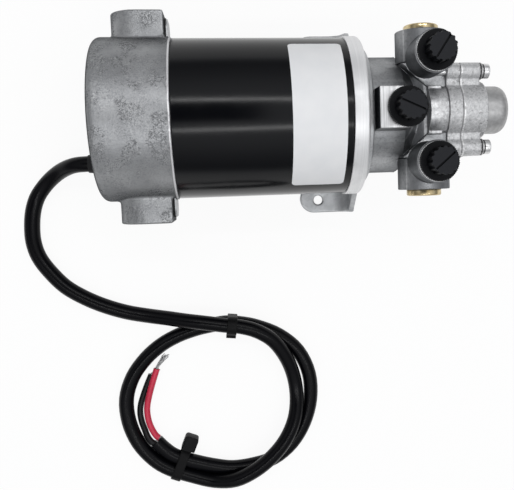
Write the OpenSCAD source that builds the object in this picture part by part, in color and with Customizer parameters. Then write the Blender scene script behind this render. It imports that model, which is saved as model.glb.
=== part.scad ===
// Electric pump set for a steering cylinder: brush motor, valve body and gear pump in one line.
// The motor's axis runs along X with the pump head at +X, and the part stands on Z = 0.

/* [Motor] */
// Outer diameter of the motor can
can_d = 76.2; // [74:0.1:77]
// Length of the motor can
can_len = 81.2; // [78:0.1:120]
// Wall of the rolled steel can
can_wall = 2.4; // [1.6:0.1:3]
// Thickness of the field magnets
magnet_t = 7.5; // [5:0.1:8.5]
// Length of the field magnets
magnet_len = 60; // [40:1:66]
// Gap between the magnets and the armature
air_gap = 0.8; // [0.4:0.1:2]
// Length of the armature's stack of sheets
armature_len = 50; // [30:1:52]
// Diameter of the motor shaft
shaft_d = 10; // [9:0.1:10.5]
// Diameter of the commutator
commutator_d = 24; // [20:0.5:26]
// Distance from the can's bore to the centre of a through bolt
through_bolt_inset = 4.7; // [4.5:0.1:5]

/* [Rear housing] */
// Step from the can up to the rear housing
rear_step = 0.5; // [0.1:0.1:0.9]
// Length of the rear housing
rear_len = 35.6; // [35:0.1:50]
// Wall of the rear housing
rear_wall = 4.1; // [3.4:0.1:4.6]
// Radius of the rounded rear edge
rear_round = 3.5; // [1:0.1:3.8]
// Rise of a brush pocket over the rear housing
pocket_rise = 10.9; // [9.4:0.1:16]
// Height of a brush pocket
pocket_height = 25; // [22:0.5:30]
// Length of a brush pocket, from its rounded back to its open front
pocket_len = 25; // [24:0.5:28]
// Distance from the pocket's open front to the can
pocket_setback = 3; // [2:0.1:4]
// Wall of a brush pocket
pocket_wall = 4; // [3:0.1:4.4]
// Diameter of the cord
cord_d = 8; // [6:0.5:8]
// Length of the cord grommet outside the housing
grommet_len = 10; // [6:0.5:10]

/* [Front end and bracket] */
// Step from the can up to the front end cap
end_cap_step = 0.7; // [0.1:0.1:0.9]
// Visible length of the front end cap
end_cap_len = 7.4; // [7:0.1:12]
// Radius of the end cap's rounded edge
end_cap_round = 1.6; // [0.5:0.1:3]
// Thickness of the bracket plate
plate_t = 2.8; // [2:0.1:4]
// Diameter of the bracket's round middle
bracket_d = 66; // [62:0.5:70]
// Gap between the front end cap and the surface that the feet stand on
floor_gap = 0.6; // [0.6:0.1:20]
// Reach of a foot past the side of the can
foot_reach = 10.1; // [9:0.1:15]
// Shift of both feet towards the cord's side
foot_shift = 1.2; // [0:0.1:2]
// Width of a foot
foot_width = 15.4; // [12:0.1:16]
// Length of a foot, from the plate's front face to its rounded end
foot_len = 28.5; // [27:0.1:40]
// Inner radius of the bend between plate and foot
foot_bend = 8; // [6:0.1:8]
// Distance from a foot's outer edge to the centre of its hole
foot_hole_inset = 7; // [6:0.1:9]
// Distance from the plate's front face to the foot holes
foot_hole_setback = 18.5; // [16:0.1:20]
// Diameter of a foot hole
foot_hole_d = 5; // [4:0.1:7]

/* [Valve body] */
// Diameter of the neck that seats on the bracket
neck_d = 57.2; // [56:0.1:60]
// Length of the neck
neck_len = 15.6; // [15:0.1:18]
// Length of the valve body, from the bracket to the gear pump
head_len = 36.2; // [35:0.1:38]
// Height of the port faces above the motor's axis
port_height = 43; // [42:0.1:48]
// Distance between the two cylinder ports
port_spacing = 49.2; // [48:0.1:50]
// Diameter of a cylinder port's boss
port_boss_d = 19.6; // [19:0.1:21.4]
// Bore of a port
port_bore_d = 13.2; // [10:0.1:13.6]
// Depth of a port
port_depth = 15; // [10:0.1:15]
// Distance from the bracket to the centre of the middle port
middle_port_x = 12.7; // [11.4:0.1:13]
// Width of the middle port's pad
middle_pad_w = 18.6; // [17:0.1:20]
// Distance from the bracket to the cross bore
cross_x = 26.5; // [25.8:0.1:26.6]
// Height of the cross bore above the motor's axis
cross_height = 18; // [17:0.1:19]
// Diameter of the cross bore's two end bosses
cross_boss_d = 25; // [23:0.1:27]
// Distance over the cross bore's end faces
cross_span = 74.8; // [74:0.1:80]
// Diameter of the cross bore
cross_bore_d = 11; // [10:0.1:11]
// Height of the deck between the port bosses
deck_height = 25; // [24:0.1:27]

/* [Port plugs] */
// Diameter of a port plug's knurled flange
plug_flange_d = 18.3; // [17:0.1:20]
// Thickness of a port plug's flange
plug_flange_t = 2.5; // [1.5:0.1:4]
// Diameter of a port plug's fluted hub
plug_hub_d = 12.8; // [12:0.1:14]
// Height of a port plug's hub above its flange
plug_hub_h = 8; // [5:0.1:10]
// Width of the slot across the hub
plug_slot_w = 0.9; // [0.6:0.1:1.6]
// Length of the slot across the hub
plug_slot_len = 11.4; // [8:0.1:13]
// Number of teeth on the flange
plug_teeth = 60; // [40:2:72]
// Number of flutes on the hub
plug_flutes = 14; // [12:1:18]

/* [Gear pump] */
// Module of the gears
gear_module = 1.5; // [1.4:0.02:1.5]
// Teeth of each gear
gear_teeth = 12; // [12:2:12]
// Width of the gears
gear_width = 8; // [6:0.1:8.5]
// Diameter of the pump's shafts
pump_shaft_d = 8; // [6:0.1:8]
// Half width of the pump's oval castings
oval_r = 13.7; // [13.4:0.1:14]
// Thickness of the bearing plate
bearing_plate_t = 6.6; // [6:0.1:8]
// Length of the gear housing
gear_housing_len = 12.3; // [11.8:0.1:14]
// Diameter of the screw sleeves
sleeve_d = 8.3; // [7:0.1:9]
// Distance between the screws, across
screw_spread = 36; // [35.5:0.1:38]
// Distance between the screws, up and down
screw_rise = 30; // [29:0.1:31]
// Diameter of the domed cap
dome_d = 23; // [21:0.1:25]
// Length of the domed cap
dome_len = 12; // [10:0.1:18]
// Radius of the domed cap's end
dome_round = 5; // [3:0.1:6]

/* [Hidden] */
$fn = 64;

// Fits
seat = 0.05;
running = 0.05;
loose = 0.2;
eps = 0.01;

// Sizes that follow the can's
rear_d = can_d + 2 * rear_step;
pocket_span = rear_d + 2 * pocket_rise;
end_cap_d = can_d + 2 * end_cap_step;
axis_height = end_cap_d / 2 + floor_gap;

// Stations along the motor's axis, from the joint between rear housing and can
x_rear = -rear_len;
x_cap = can_len;
x_bracket = x_cap + end_cap_len;
x_neck = x_bracket + plate_t;
x_cone = x_neck + neck_len;
x_head = x_neck + head_len;
x_gear = x_head + bearing_plate_t;
x_end = x_gear + gear_housing_len;
x_tip = x_end + dome_len;
x_mid = (x_rear - grommet_len + x_tip) / 2;
x_middle_port = x_neck + middle_port_x;
x_cross = x_neck + cross_x;

// Motor radii
can_bore = can_d / 2 - can_wall;
through_bolt_circle = 2 * (can_bore - through_bolt_inset);
spigot_r = can_bore - seat;
spigot_wall = 2.2;
spigot_len = 3;
magnet_bore = can_bore - seat - magnet_t;
armature_r = magnet_bore - air_gap;
shaft_r = shaft_d / 2;

// Ball bearings: the small one behind the commutator and the large one in the end cap
rear_bearing_d = 22;
rear_bearing_w = 7;
rear_journal_d = 8;
front_bearing_d = 26;
front_bearing_w = 8;
bearing_wall = 4;

// Gears
pitch_r = gear_module * gear_teeth / 2;
tip_r = pitch_r + gear_module;
root_r = pitch_r - 1.25 * gear_module;
pressure_angle = 25;
base_r = pitch_r * cos(pressure_angle);
tooth_play = 0.12;
gear_axis_z = 2 * pitch_r;
oval_mid_z = gear_axis_z / 2;
chamber_r = tip_r + 0.1;
pump_shaft_r = pump_shaft_d / 2;
bush_wall = 2;
passage_r = 2;
passage_y = 8;

// Screws
screw_d = 4;
screw_head_d = 7;
screw_head_h = 3;
washer_t = 2.1;
sleeve_setback = 2.4;
screw_bite = 4.6;
body_screw_d = 5;
body_screw_head_d = 8.5;
body_screw_head_h = 5;
body_screw_circle = 45.6;
body_screw_bite = 9.6;
end_web = 4.4;
bolt_d = 4;
bolt_head_d = 7;
bolt_head_h = 2.8;
bolt_recess = 3.1;
boss_wall = 2.5;

// Valve details
seat_land = 9.5;
seat_face = 12.5;
seat_bore_d = 6;
lock_thread_d = 15;
lock_thread_len = 7.8;
lock_head_d = 16.8;
lock_head_t = 3.1;
lock_hex = 8;
lock_y = cross_span / 2;
chamber_end = lock_y - lock_thread_len;
poppet_len = 6;
poppet_nose = 3;
pin_reach = 10.4;
check_spring_r = 3.8;
check_spring_wire = 0.45;
cross_tube_wall = 1.2;
center_block_w = 21;
arch_gap = 0.6;
arch_step = 0.7;
ledge_w = 22.8;
ledge_len = 6.6;
ledge_drop = 4.4;
port_y = port_spacing / 2;
port_drill_d = 8;
coupling_d = 16;
coupling_len = 11;
coupling_chamber_d = 28;
coupling_chamber_len = 12.6;
seal_d = 18;
seal_t = 5;

// Brush gear
brush_x = -13;
brush_w = 6.8;
brush_h = 8.8;
brush_len = 16;
holder_wall = 1;
brush_spring_r = 2.4;
brush_spring_wire = 0.4;
commutator_len = 13.5;
brush_gap = 0.15;

// Cord exit in the rear housing
cord_y = -19.5;
cord_z = -19.4;
conductor_d = 3.4;

// Shared helpers
module placed() {
    translate([-x_mid, 0, axis_height]) children();
}

module extrude_x(x, len) {
    translate([x, 0, 0]) rotate([90, 0, 90]) linear_extrude(len) children();
}

module extrude_y(y, len) {
    translate([0, y, 0]) rotate([90, 0, 0]) mirror([0, 0, 1]) linear_extrude(len) children();
}

module revolve_x() {
    rotate([0, 90, 0]) rotate_extrude() children();
}

module rod_x(x, len, r) {
    translate([x, 0, 0]) rotate([0, 90, 0]) cylinder(h = len, r = r);
}

module ring_x(x, len, outer, inner) {
    difference() {
        rod_x(x, len, outer);
        rod_x(x - eps, len + 2 * eps, inner);
    }
}

module rod_y(y, len, r) {
    translate([0, y, 0]) rotate([-90, 0, 0]) cylinder(h = len, r = r);
}

module both_sides() {
    children();
    mirror([0, 1, 0]) children();
}

module at_pump_screws() {
    for (side = [-1, 1], level = [-1, 1])
        translate([0, side * screw_spread / 2, oval_mid_z + level * screw_rise / 2]) children();
}

module at_body_screws() {
    for (turn = [45 : 90 : 315]) rotate([turn, 0, 0]) translate([0, 0, body_screw_circle / 2]) children();
}

module at_through_bolts() {
    for (side = [-1, 1]) translate([0, 0, side * through_bolt_circle / 2]) children();
}

// A round disc profile with one rounded outer corner, for revolving: radius r, from h0 to h1
module rounded_profile(r, h0, h1, round_at_start, corner) {
    h_corner = round_at_start ? h0 + corner : h1 - corner;
    translate([0, h0]) square([r - corner, h1 - h0]);
    translate([0, round_at_start ? h_corner : h0]) square([r, h1 - h0 - corner]);
    translate([r - corner, h_corner]) circle(corner);
}

function unit(v) = v / norm(v);
function tangent(path, i) =
    unit(path[min(i + 1, len(path) - 1)] - path[max(i - 1, 0)]);
function ring_of(p, t, r, sides) =
    let (side = unit(cross(t, [0, 0, 1])), up = cross(side, t))
    [for (k = [0 : sides - 1]) let (a = (k + 0.5) * 360 / sides) p + r * (cos(a) * side + sin(a) * up)];

// A tube swept along a path that is never vertical
module swept_tube(path, r, sides) {
    n = len(path);
    points = [for (i = [0 : n - 1]) each ring_of(path[i], tangent(path, i), r, sides)];
    walls = [for (i = [0 : n - 2], k = [0 : sides - 1])
        let (a = i * sides + k, b = i * sides + (k + 1) % sides)
        [a, b, b + sides, a + sides]];
    start = [for (k = [sides - 1 : -1 : 0]) k];
    finish = [for (k = [0 : sides - 1]) (n - 1) * sides + k];
    polyhedron(points, concat(walls, [start, finish]), convexity = 10);
}

function coil_ring(coil_r, pitch, a, z, wire_r, sides) =
    let (out = [cos(a), sin(a), 0], t = unit([-sin(a) * 2 * PI * coil_r, cos(a) * 2 * PI * coil_r, pitch]),
        up = cross(out, t))
    [for (k = [0 : sides - 1]) let (b = k * 360 / sides)
        coil_r * out + [0, 0, z] + wire_r * (cos(b) * out + sin(b) * up)];

// A compression spring standing on the origin along Z
module coil_spring(coil_r, wire_r, height, turns) {
    steps = 12;
    sides = 6;
    rise = height - 2 * wire_r;
    pitch = rise / turns;
    n = turns * steps;
    points = [for (i = [0 : n])
        each coil_ring(coil_r, pitch, i * 360 / steps, wire_r + rise * i / n, wire_r, sides)];
    walls = [for (i = [0 : n - 1], k = [0 : sides - 1])
        let (a = i * sides + k, b = i * sides + (k + 1) % sides)
        [a, a + sides, b + sides, b]];
    start = [for (k = [0 : sides - 1]) k];
    finish = [for (k = [sides - 1 : -1 : 0]) n * sides + k];
    polyhedron(points, concat(walls, [start, finish]), convexity = 10);
}

// Motor

// Outline of a brush pocket in X and Z, drawn in by a margin all round except at its open front
module pocket_outline(margin) {
    back = -pocket_setback - pocket_len + pocket_height / 2;
    half = pocket_height / 2 - margin;
    translate([back, 0]) circle(half);
    translate([back, -half]) square([-pocket_setback - back, 2 * half]);
}

module rear_housing() {
    color("silver") placed() difference() {
        union() {
            difference() {
                union() {
                    revolve_x() rounded_profile(rear_d / 2, x_rear, 0, true, rear_round);
                    extrude_y(-pocket_span / 2, pocket_span) pocket_outline(0);
                }
                rod_x(x_rear + rear_wall, rear_len, rear_d / 2 - rear_wall);
                extrude_y(-pocket_span / 2 + pocket_wall, pocket_span - 2 * pocket_wall)
                    pocket_outline(pocket_wall);
            }
            ring_x(-spigot_len, 2 * spigot_len, spigot_r, spigot_r - spigot_wall);
            rod_x(x_rear + rear_wall - eps, rear_bearing_w + 2, rear_bearing_d / 2 + bearing_wall);
            at_through_bolts() rod_x(x_rear + rear_wall - eps, bearing_wall, bolt_d / 2 + boss_wall);
        }
        rod_x(x_rear + rear_wall + 2, rear_bearing_w + eps, rear_bearing_d / 2 + seat);
        at_through_bolts() {
            rod_x(x_rear - eps, rear_len + 2 * spigot_len, bolt_d / 2 + loose);
            rod_x(x_rear - eps, bolt_recess + eps, bolt_head_d / 2 + loose);
        }
        translate([0, cord_y, cord_z]) rod_x(x_rear - eps, rear_wall + 2 * eps, cord_d / 2 + grommet_wall);
    }
}

module motor_can() {
    color("black") placed() ring_x(0, can_len, can_d / 2, can_bore);
}

label_x = 53.2;
label_len = 24.7;
label_start = 34;
label_end = 151;
label_t = 0.15;
label_gap = 0.02;

module label() {
    color("white") placed() rotate([0, 90, 0]) rotate([0, 0, 90 + label_start])
        rotate_extrude(angle = label_end - label_start)
            translate([can_d / 2 + label_gap, label_x]) square([label_t, label_len]);
}

module front_end_cap() {
    color("gainsboro") placed() difference() {
        union() {
            revolve_x() rounded_profile(end_cap_d / 2, x_cap, x_bracket, false, end_cap_round);
            rod_x(x_cap - spigot_len, spigot_len + eps, spigot_r);
        }
        difference() {
            rod_x(x_cap - spigot_len - eps, spigot_len + end_cap_len - end_web + eps,
                spigot_r - spigot_wall);
            rod_x(x_cap - spigot_len - 2 * eps, spigot_len + end_cap_len, front_bearing_d / 2 + bearing_wall);
            at_through_bolts() rod_x(x_cap - spigot_len - 2 * eps, spigot_len + end_cap_len,
                bolt_d / 2 + boss_wall);
        }
        rod_x(x_cap - spigot_len - eps, front_bearing_w + eps, front_bearing_d / 2 + seat);
        rod_x(x_cap, end_cap_len + eps, shaft_r + 1.5);
        at_through_bolts() rod_x(x_cap - spigot_len - eps, spigot_len + end_cap_len - 1, bolt_d / 2 + seat);
        at_body_screws() rod_x(x_cap - spigot_len, spigot_len + end_cap_len + eps, body_screw_d / 2 + loose);
    }
}

module through_bolts() {
    seat_x = x_rear + bolt_recess;
    color("dimgray") placed() at_through_bolts() difference() {
        union() {
            rod_x(seat_x - eps, x_bracket - 2 - seat_x, bolt_d / 2);
            rod_x(seat_x - bolt_head_h, bolt_head_h, bolt_head_d / 2);
        }
        translate([seat_x - bolt_head_h - 1, 0, 0]) rotate([0, 90, 0]) cylinder(h = 2.6, r = 1.9, $fn = 6);
    }
}

module body_screws() {
    web_face = x_bracket - end_web;
    color("dimgray") placed() at_body_screws() {
        rod_x(web_face - eps, end_web + plate_t + body_screw_bite, body_screw_d / 2);
        rod_x(web_face - body_screw_head_h, body_screw_head_h, body_screw_head_d / 2);
    }
}

module motor_shaft() {
    journal_start = x_rear + rear_wall + 2;
    shoulder = journal_start + rear_bearing_w;
    color("lightsteelblue") placed() {
        rod_x(journal_start, rear_bearing_w + eps, rear_journal_d / 2);
        rod_x(shoulder, x_neck + coupling_len / 2 - shoulder, shaft_r);
    }
}

armature_mid = can_len / 2 - 2;
armature_slots = 12;
slot_w = 5;
slot_depth = 9;

module armature_core() {
    start = armature_mid - armature_len / 2;
    color("slategray") placed() difference() {
        rod_x(start, armature_len, armature_r);
        rod_x(start - eps, armature_len + 2 * eps, shaft_r + seat);
        for (k = [0 : armature_slots - 1]) rotate([k * 360 / armature_slots, 0, 0])
            translate([start - eps, -slot_w / 2, armature_r - slot_depth])
                cube([armature_len + 2 * eps, slot_w, slot_depth + 1]);
    }
}

winding_head = 11;

module armature_windings() {
    start = armature_mid - armature_len / 2;
    outer = armature_r - 2.5;
    inner = armature_r - slot_depth + seat;
    color("chocolate") placed() {
        for (x = [start - winding_head, start + armature_len])
            ring_x(x, winding_head, outer, shaft_r + 2);
        for (k = [0 : armature_slots - 1]) rotate([k * 360 / armature_slots, 0, 0])
            translate([start - eps, -slot_w / 2 + seat, inner])
                cube([armature_len + 2 * eps, slot_w - 2 * seat, outer - inner - 1]);
    }
}

module commutator() {
    color("peru") placed()
        ring_x(brush_x - commutator_len / 2, commutator_len, commutator_d / 2, shaft_r + seat);
}

module field_magnets() {
    magnet_arc = 140;
    color("dimgray") placed() both_sides() rotate([0, 90, 0]) rotate([0, 0, 90 - magnet_arc / 2])
        rotate_extrude(angle = magnet_arc)
            translate([magnet_bore, armature_mid - magnet_len / 2]) square([magnet_t, magnet_len]);
}

module rear_bearing() {
    color("lightgray") placed()
        ring_x(x_rear + rear_wall + 2, rear_bearing_w, rear_bearing_d / 2, rear_journal_d / 2 + running);
}

module front_bearing() {
    color("lightgray") placed()
        ring_x(x_cap - spigot_len, front_bearing_w, front_bearing_d / 2, shaft_r + running);
}

// Brush gear

holder_start = commutator_d / 2 + 2;
holder_end = pocket_span / 2 - pocket_wall;
brush_start = commutator_d / 2 + brush_gap;

module brush_bar(y, len, w, h) {
    translate([brush_x - w / 2, y, -h / 2]) cube([w, len, h]);
}

module brush_holders() {
    color("goldenrod") placed() both_sides() difference() {
        brush_bar(holder_start, holder_end - holder_start,
            brush_w + 2 * (holder_wall + running), brush_h + 2 * (holder_wall + running));
        brush_bar(holder_start - eps, holder_end - holder_start - holder_wall,
            brush_w + 2 * running, brush_h + 2 * running);
    }
}

module carbon_brush() {
    color("darkslategray") placed() brush_bar(brush_start, brush_len, brush_w, brush_h);
}

module carbon_brush_left() {
    carbon_brush();
}

module carbon_brush_right() {
    mirror([0, 1, 0]) carbon_brush();
}

module brush_springs() {
    start = brush_start + brush_len;
    color("gray") placed() both_sides() translate([brush_x, start, 0]) rotate([-90, 0, 0])
        coil_spring(brush_spring_r, brush_spring_wire, holder_end - holder_wall - start, 6);
}

cover_lap_out = 1.6;
cover_lap_side = 0.8;

// Shape of a pocket's closing plates in Y and Z, outside the can
module pocket_cover_outline(margin) {
    corner = 5;
    reach = pocket_span / 2 - pocket_wall - margin + cover_lap_out;
    half = pocket_height / 2 - pocket_wall + cover_lap_side - margin;
    difference() {
        union() {
            translate([0, -half]) square([reach - corner, 2 * half]);
            translate([0, -half + corner]) square([reach, 2 * (half - corner)]);
            for (side = [-1, 1]) translate([reach - corner, side * (half - corner)]) circle(corner);
        }
        circle(max(rear_d, can_d) / 2 + loose);
    }
}

gasket_t = 1;
cover_t = 0.6;

module pocket_gaskets() {
    color("black") placed() both_sides() extrude_x(-pocket_setback, gasket_t) pocket_cover_outline(0);
}

module pocket_covers() {
    color("gray") placed() both_sides()
        extrude_x(-pocket_setback + gasket_t, cover_t) pocket_cover_outline(0.4);
}

grommet_wall = 1;
grommet_collar = 1.6;
grommet_collar_t = 1;

module cable_grommet() {
    color("black") placed() translate([0, cord_y, cord_z]) difference() {
        union() {
            rod_x(x_rear - grommet_collar_t, grommet_collar_t, cord_d / 2 + grommet_collar);
            rod_x(x_rear - eps, rear_wall + eps, cord_d / 2 + grommet_wall - seat);
            translate([x_rear - grommet_len, 0, 0]) rotate([0, 90, 0])
                cylinder(h = grommet_len - grommet_collar_t + eps,
                    r1 = cord_d / 2 + grommet_wall / 2, r2 = cord_d / 2 + grommet_collar - 0.2);
        }
        rod_x(x_rear - grommet_len - eps, grommet_len + rear_wall + 2 * eps, cord_d / 2 + 2 * seat);
    }
}

// Mounting bracket

// Outer edges of the far foot and, on the cord's side, of the near foot
far_out = can_d / 2 + foot_reach - foot_shift;
near_out = can_d / 2 + foot_reach + foot_shift;
foot_top = foot_bend + plate_t - axis_height;

// A leg in Y and Z, from the disc down to the bend over a foot whose outer edge is at out
module leg_outline(out) {
    r = bracket_d / 2;
    polygon([[r * 0.7, 4], [r, 4], [r + 2.6, -6], [r + 6.2, -16], [out - 2.8, foot_top + 3],
        [out, foot_top - eps], [out - foot_width, foot_top - eps], [r * 0.7, -16]]);
}

module bracket_outline() {
    circle(bracket_d / 2);
    leg_outline(far_out);
    mirror([1, 0]) leg_outline(near_out);
}

module foot(out) {
    round_r = foot_width / 2;
    foot_in = out - foot_width;
    bend_x = x_neck - plate_t - foot_bend;
    intersection() {
        translate([0, foot_in, -axis_height]) union() {
            translate([x_neck - foot_len, 0, 0]) cube([bend_x - x_neck + foot_len, foot_width, plate_t]);
            intersection() {
                translate([bend_x, 0, foot_bend + plate_t]) rotate([-90, 0, 0]) difference() {
                    cylinder(h = foot_width, r = foot_bend + plate_t);
                    translate([0, 0, -eps]) cylinder(h = foot_width + 2 * eps, r = foot_bend);
                }
                translate([bend_x, 0, 0])
                    cube([foot_bend + plate_t, foot_width, foot_bend + plate_t]);
            }
        }
        translate([0, foot_in + round_r, -axis_height - 1]) linear_extrude(foot_bend + plate_t + 2) {
            translate([x_neck - foot_len + round_r, 0]) circle(round_r);
            translate([x_neck - foot_len + round_r, -round_r]) square([foot_len, foot_width]);
        }
    }
}

module mounting_bracket() {
    color("gray") placed() difference() {
        union() {
            extrude_x(x_bracket, plate_t) bracket_outline();
            foot(far_out);
            mirror([0, 1, 0]) foot(near_out);
        }
        rod_x(x_bracket - eps, plate_t + 2 * eps, coupling_chamber_d / 2 + 1);
        at_body_screws() rod_x(x_bracket - eps, plate_t + 2 * eps, body_screw_d / 2 + loose);
        for (y = [far_out - foot_hole_inset, foot_hole_inset - near_out])
            translate([x_neck - foot_hole_setback, y, -axis_height - 1])
                cylinder(h = plate_t + 2, r = foot_hole_d / 2);
    }
}

// Valve body

sleeve_y = screw_spread / 2;
deck_out = sleeve_y + sleeve_d / 2;
web_near = [x_cross - 11.5, 21.7];
web_far = [x_cross + 1.2, 10.2];
body_bottom = -oval_r;

// Half of the deck between the port bosses, with the slanted edge that runs to the middle
module deck_half() {
    polygon([web_near, web_far, [x_head, web_far[1]], [x_head, deck_out], [web_near[0], deck_out]]);
}

module valve_mass() {
    rod_x(x_neck, neck_len + eps, neck_d / 2);
    translate([x_cone, 0, 0]) rotate([0, 90, 0])
        cylinder(h = x_head - x_cone - 6, r1 = neck_d / 2, r2 = neck_d / 2 - 9);
    both_sides() translate([0, 0, body_bottom]) linear_extrude(deck_height - body_bottom) deck_half();
    translate([x_cone - eps, -center_block_w / 2, body_bottom])
        cube([x_head - x_cone + eps, center_block_w, deck_height - 2 - body_bottom]);
    // Arch over the pump shafts, with a ledge along each side of its near end
    translate([x_cross + arch_gap, 0, gear_axis_z]) {
        rod_x(0, x_head - x_cross - arch_gap, oval_r - arch_step);
        translate([0, -ledge_w / 2, 0]) cube([ledge_len, ledge_w, oval_r - arch_step - ledge_drop]);
    }
    // Pad of the middle port
    translate([x_neck, -middle_pad_w / 2, deck_height - 10])
        cube([middle_port_x, middle_pad_w, port_height - deck_height + 10]);
    translate([x_middle_port, 0, 0]) cylinder(h = port_height, r = middle_pad_w / 2);
    both_sides() translate([x_cross, port_y, cross_height]) {
        rise = port_height - cross_height;
        cylinder(h = rise - 0.8, r = port_boss_d / 2);
        cylinder(h = rise, r = port_boss_d / 2 - 0.4);
    }
    both_sides() translate([x_cross, 0, cross_height]) {
        rod_y(deck_out + 0.45, lock_y - deck_out - 0.45, cross_boss_d / 2);
        rod_y(0, lock_y, cross_bore_d / 2 + cross_tube_wall);
    }
}

module port_bore(depth_below) {
    translate([0, 0, port_height - port_depth]) cylinder(h = port_depth + 1, r = port_bore_d / 2);
    translate([0, 0, depth_below])
        cylinder(h = port_height - port_depth - depth_below + eps, r = port_drill_d / 2);
}

module valve_body() {
    color("darkgray") placed() difference() {
        valve_mass();
        rod_x(x_neck - eps, coupling_chamber_len + eps, coupling_chamber_d / 2);
        rod_x(x_neck + coupling_chamber_len - eps, seal_t + eps, seal_d / 2 + seat);
        rod_x(x_neck, head_len + eps, pump_shaft_r + 1);
        translate([x_middle_port, 0, 0]) port_bore(port_height - port_depth - 4);
        translate([x_neck + coupling_chamber_len - 4, 0, coupling_chamber_d / 4])
            cylinder(h = port_height - port_depth - coupling_chamber_d / 4, r = 2.5);
        both_sides() {
            translate([x_cross, port_y, 0]) port_bore(cross_height);
            translate([x_cross, 0, cross_height]) {
                rod_y(-seat_land, 2 * seat_land, cross_bore_d / 2);
                rod_y(0, lock_y, seat_bore_d / 2);
                rod_y(seat_face, lock_y - seat_face, cross_bore_d / 2);
                rod_y(chamber_end, lock_thread_len + 1, lock_thread_d / 2 + seat);
            }
            translate([0, passage_y, oval_mid_z]) rod_x(x_cross, x_head - x_cross + eps, passage_r);
            translate([x_cross, passage_y, oval_mid_z]) cylinder(h = cross_height - oval_mid_z, r = passage_r);
        }
        at_body_screws() rod_x(x_neck - eps, body_screw_bite + 0.5, body_screw_d / 2 + seat);
        at_pump_screws() rod_x(x_head - screw_bite - 0.4, screw_bite + 1, screw_d / 2 + seat);
    }
}

module lock_plugs() {
    color("goldenrod") placed() translate([x_cross, 0, cross_height]) both_sides() difference() {
        union() {
            rod_y(chamber_end, lock_thread_len + eps, lock_thread_d / 2);
            rod_y(lock_y, lock_head_t - 0.5, lock_head_d / 2);
            translate([0, lock_y + lock_head_t - 0.5, 0]) rotate([-90, 0, 0])
                cylinder(h = 0.5, r1 = lock_head_d / 2, r2 = lock_head_d / 2 - 0.5);
        }
        difference() {
            rod_y(lock_y - 2, 1.6, lock_thread_d / 2 + 1);
            rod_y(lock_y - 2 - eps, 2, lock_thread_d / 2 - 1.3);
        }
        translate([0, lock_y + lock_head_t - 4, 0]) rotate([-90, 0, 0])
            cylinder(h = 5, r = lock_hex / 2 / cos(30), $fn = 6);
    }
}

module lock_plug_seals() {
    color("black") placed() translate([x_cross, 0, cross_height]) both_sides() difference() {
        rod_y(lock_y - 2 + seat, 1.6 - 2 * seat, lock_thread_d / 2);
        rod_y(lock_y - 3, 3, lock_thread_d / 2 - 1.3 + seat);
    }
}

module check_poppet() {
    body_r = cross_bore_d / 2 - running;
    nose_r = seat_bore_d / 2 - 0.5;
    color("lightgray") placed() translate([x_cross, 0, cross_height]) {
        translate([0, seat_face - 0.5, 0]) rotate([-90, 0, 0])
            cylinder(h = poppet_nose, r1 = nose_r, r2 = nose_r + 0.9 * poppet_nose);
        rod_y(seat_face - 0.5 + poppet_nose - eps, poppet_len, body_r);
    }
}

module check_poppet_left() {
    check_poppet();
}

module check_poppet_right() {
    mirror([0, 1, 0]) check_poppet();
}

module check_spring() {
    start = seat_face - 0.5 + poppet_nose + poppet_len;
    color("gray") placed() translate([x_cross, start, cross_height]) rotate([-90, 0, 0])
        coil_spring(check_spring_r, check_spring_wire, chamber_end - start, 5);
}

module check_spring_left() {
    check_spring();
}

module check_spring_right() {
    mirror([0, 1, 0]) check_spring();
}

module shuttle_piston() {
    color("lightgray") placed() translate([x_cross, 0, cross_height]) {
        rod_y(-5.5, 11, cross_bore_d / 2 - running);
        rod_y(-pin_reach, 2 * pin_reach, 1.5);
    }
}

// Pump head

module drive_coupling() {
    color("lightgray") placed() difference() {
        rod_x(x_neck, coupling_len, coupling_d / 2);
        rod_x(x_neck - eps, coupling_len / 2 + 2 * eps, shaft_r + seat);
        rod_x(x_neck, coupling_len + eps, pump_shaft_r + seat);
    }
}

module shaft_seal() {
    color("black") placed()
        ring_x(x_neck + coupling_chamber_len, seal_t, seal_d / 2, pump_shaft_r + running);
}

module pump_shaft() {
    start = x_neck + coupling_len / 2 + 0.2;
    color("lightsteelblue") placed() rod_x(start, x_gear + gear_width + 2.6 - start, pump_shaft_r);
}

module driven_shaft() {
    start = x_head + 0.4;
    color("lightsteelblue") placed() translate([0, 0, gear_axis_z])
        rod_x(start, x_end + 4 - start, pump_shaft_r);
}

// Half the angle that a tooth fills at radius r
function involute(angle) = tan(angle) * 180 / PI - angle;
function half_tooth(r) =
    (PI * gear_module / 2 - tooth_play) / (2 * pitch_r) * 180 / PI
    + involute(pressure_angle) - involute(acos(min(1, base_r / r)));
flank_steps = 5;
flank_radii = concat([root_r], [for (i = [0 : flank_steps]) base_r + (tip_r - base_r) * i / flank_steps]);
function polar(r, a) = [r * cos(a), r * sin(a)];
function tooth_points(middle) = concat(
    [for (r = flank_radii) polar(r, middle - half_tooth(max(r, base_r)))],
    [for (i = [len(flank_radii) - 1 : -1 : 0])
        polar(flank_radii[i], middle + half_tooth(max(flank_radii[i], base_r)))]);

module gear_outline(first_tooth) {
    polygon([for (k = [0 : gear_teeth - 1]) each tooth_points(first_tooth + k * 360 / gear_teeth)]);
}

module gear(first_tooth) {
    extrude_x(x_gear + loose / 2, gear_width) difference() {
        gear_outline(first_tooth);
        circle(pump_shaft_r + seat);
    }
}

module drive_gear() {
    color("lightgray") placed() gear(90);
}

module driven_gear() {
    color("lightgray") placed() translate([0, 0, gear_axis_z]) gear(270 + 180 / gear_teeth);
}

module gear_bushes() {
    color("darkgoldenrod") placed() for (z = [0, gear_axis_z]) translate([0, 0, z])
        ring_x(x_head, bearing_plate_t, pump_shaft_r + bush_wall, pump_shaft_r + running);
}

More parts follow.
